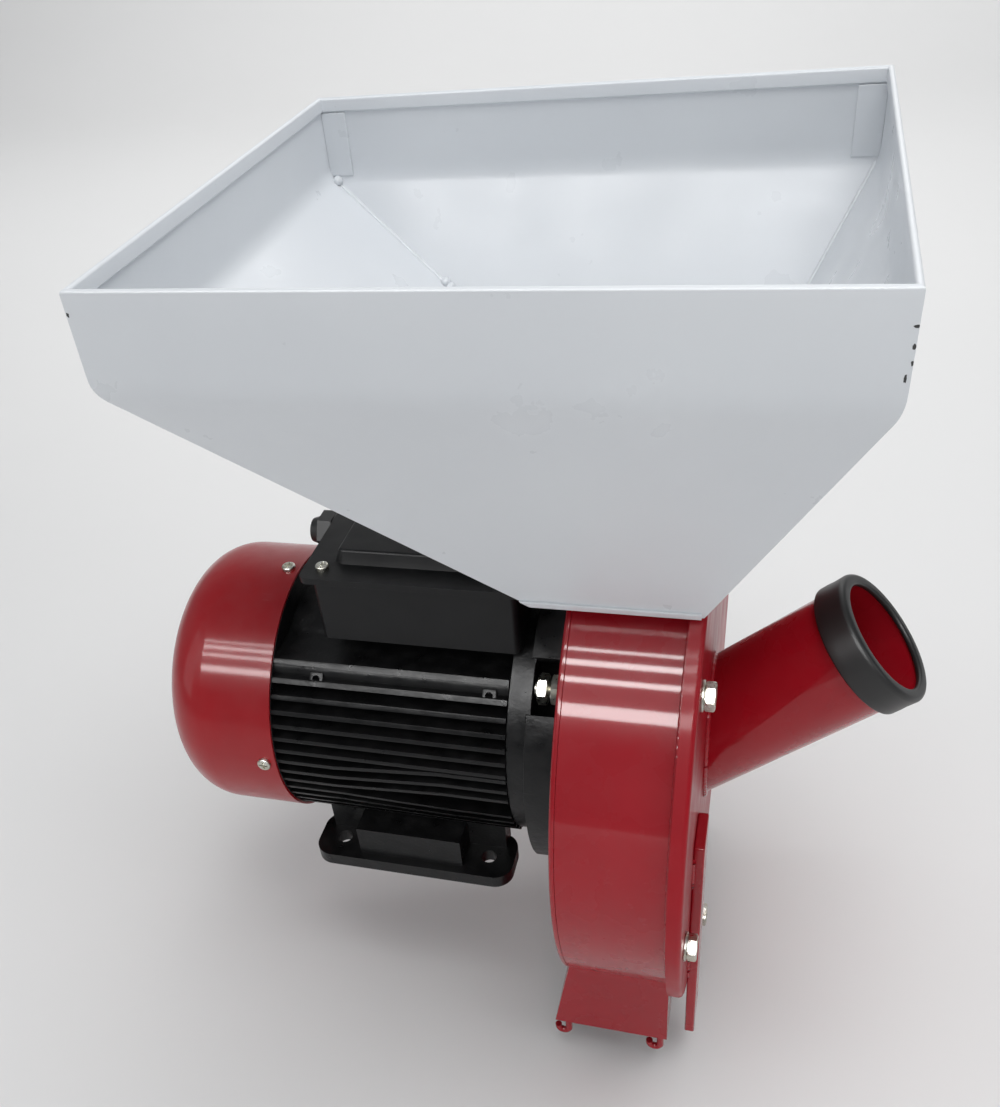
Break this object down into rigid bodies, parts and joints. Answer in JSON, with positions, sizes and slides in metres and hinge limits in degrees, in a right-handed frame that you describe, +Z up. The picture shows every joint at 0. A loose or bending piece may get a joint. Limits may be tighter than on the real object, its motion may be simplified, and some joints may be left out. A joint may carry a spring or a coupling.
{
  "type": "electric hammer mill",
  "caption": "Electric grain hammer mill: white sheet hopper over a round red milling drum flanged to a black foot-mounted motor, slanted cob pipe, bottom outlet.",
  "frame": {"origin": "centre of the four foot holes, on the underside of the motor's feet", "axes": "+X along the shaft towards the drum's cover, +Y to the gate's handle, +Z up"},
  "size_m": [0.4534, 0.342, 0.529],
  "materials": {
    "white_paint": "semi-gloss powder coat",
    "red_paint": "glossy enamel",
    "red_cowl_paint": "glossy enamel, a little duller",
    "motor_black": "satin enamel on casting",
    "box_black": "matt powder coat",
    "zinc": "zinc plated",
    "mill_steel": "machined, lightly oiled",
    "hammer_steel": "hardened, blued",
    "core_steel": "laminated",
    "winding_enamel": "varnished copper",
    "black_rubber": "satin",
    "black_plastic": "satin",
    "capacitor_plastic": "matt"
  },
  "bodies": {
    "housing": {"bag_hooks": "red_paint", "bearing_balls": "mill_steel", "bearing_outer_rings": "mill_steel", "cable_gland": "black_plastic", "cover_bar": "red_paint", "cover_bolts": "zinc", "cover_lugs": "red_paint", "cover_washers": "zinc", "cowl_screws": "zinc", "drum_back_plate": "red_paint", "drum_cover": "red_paint", "drum_rim_ring": "red_paint", "drum_shell": "red_paint", "fan_cowl": "red_cowl_paint", "feed_pipe": "red_paint", "flange_nuts": "zinc", "flange_studs": "zinc", "front_end_shield": "motor_black", "gate_guides": "white_paint", "hopper_corner_tabs": "white_paint", "hopper_floor": "white_paint", "hopper_front_panel": "white_paint", "hopper_left_panel": "white_paint", "hopper_rear_panel": "white_paint", "hopper_right_panel": "white_paint", "inlet_neck": "red_paint", "lid_screws": "zinc", "motor_housing": "motor_black", "outlet_chute": "red_paint", "pipe_end_ring": "black_rubber", "rear_end_shield": "motor_black", "run_capacitor": "capacitor_plastic", "screen": "mill_steel", "screen_rails": "red_paint", "shield_bolts": "zinc", "stator_core": "core_steel", "stator_windings": "winding_enamel", "terminal_block": "black_plastic", "terminal_box": "box_black", "terminal_box_lid": "box_black"},
    "rotor": {"motor_shaft": "mill_steel", "rotor_core": "core_steel", "bearing_inner_rings": "mill_steel", "cooling_fan": "black_plastic", "hub_sleeve": "mill_steel", "shaft_key": "mill_steel", "hammer_disc_rear": "mill_steel", "hammer_disc_front": "mill_steel", "hammer_pins": "mill_steel", "pin_spacers": "mill_steel", "pin_clips": "mill_steel", "hub_washer": "zinc", "hub_bolt": "zinc"},
    "gate": {"feed_gate": "zinc"},
    "hammer_body_1": {"hammer_1": "hammer_steel"},
    "hammer_body_2": {"hammer_2": "hammer_steel"},
    "hammer_body_3": {"hammer_3": "hammer_steel"},
    "hammer_body_4": {"hammer_4": "hammer_steel"}
  },
  "joints": [
    {"name": "rotor_spin", "type": "hinge", "parent": "housing", "child": "rotor", "pos_m": [0.1, 0, 0.09], "axis": [1, 0, 0], "continuous": true},
    {"name": "hammer_1_swing", "type": "hinge", "parent": "rotor", "child": "hammer_body_1", "pos_m": [0.134, -0.05, 0.04], "axis": [1, 0, 0], "range_deg": [-187, 97]},
    {"name": "hammer_2_swing", "type": "hinge", "parent": "rotor", "child": "hammer_body_2", "pos_m": [0.144, -0.05, 0.14], "axis": [1, 0, 0], "range_deg": [-277, 7]},
    {"name": "hammer_3_swing", "type": "hinge", "parent": "rotor", "child": "hammer_body_3", "pos_m": [0.144, 0.05, 0.04], "axis": [1, 0, 0], "range_deg": [-97, 187]},
    {"name": "hammer_4_swing", "type": "hinge", "parent": "rotor", "child": "hammer_body_4", "pos_m": [0.134, 0.05, 0.14], "axis": [1, 0, 0], "range_deg": [-7, 277]},
    {"name": "feed_gate_slide", "type": "slide", "parent": "housing", "child": "gate", "axis": [0, 1, 0], "range_m": [0, 0.088]}
  ]
}
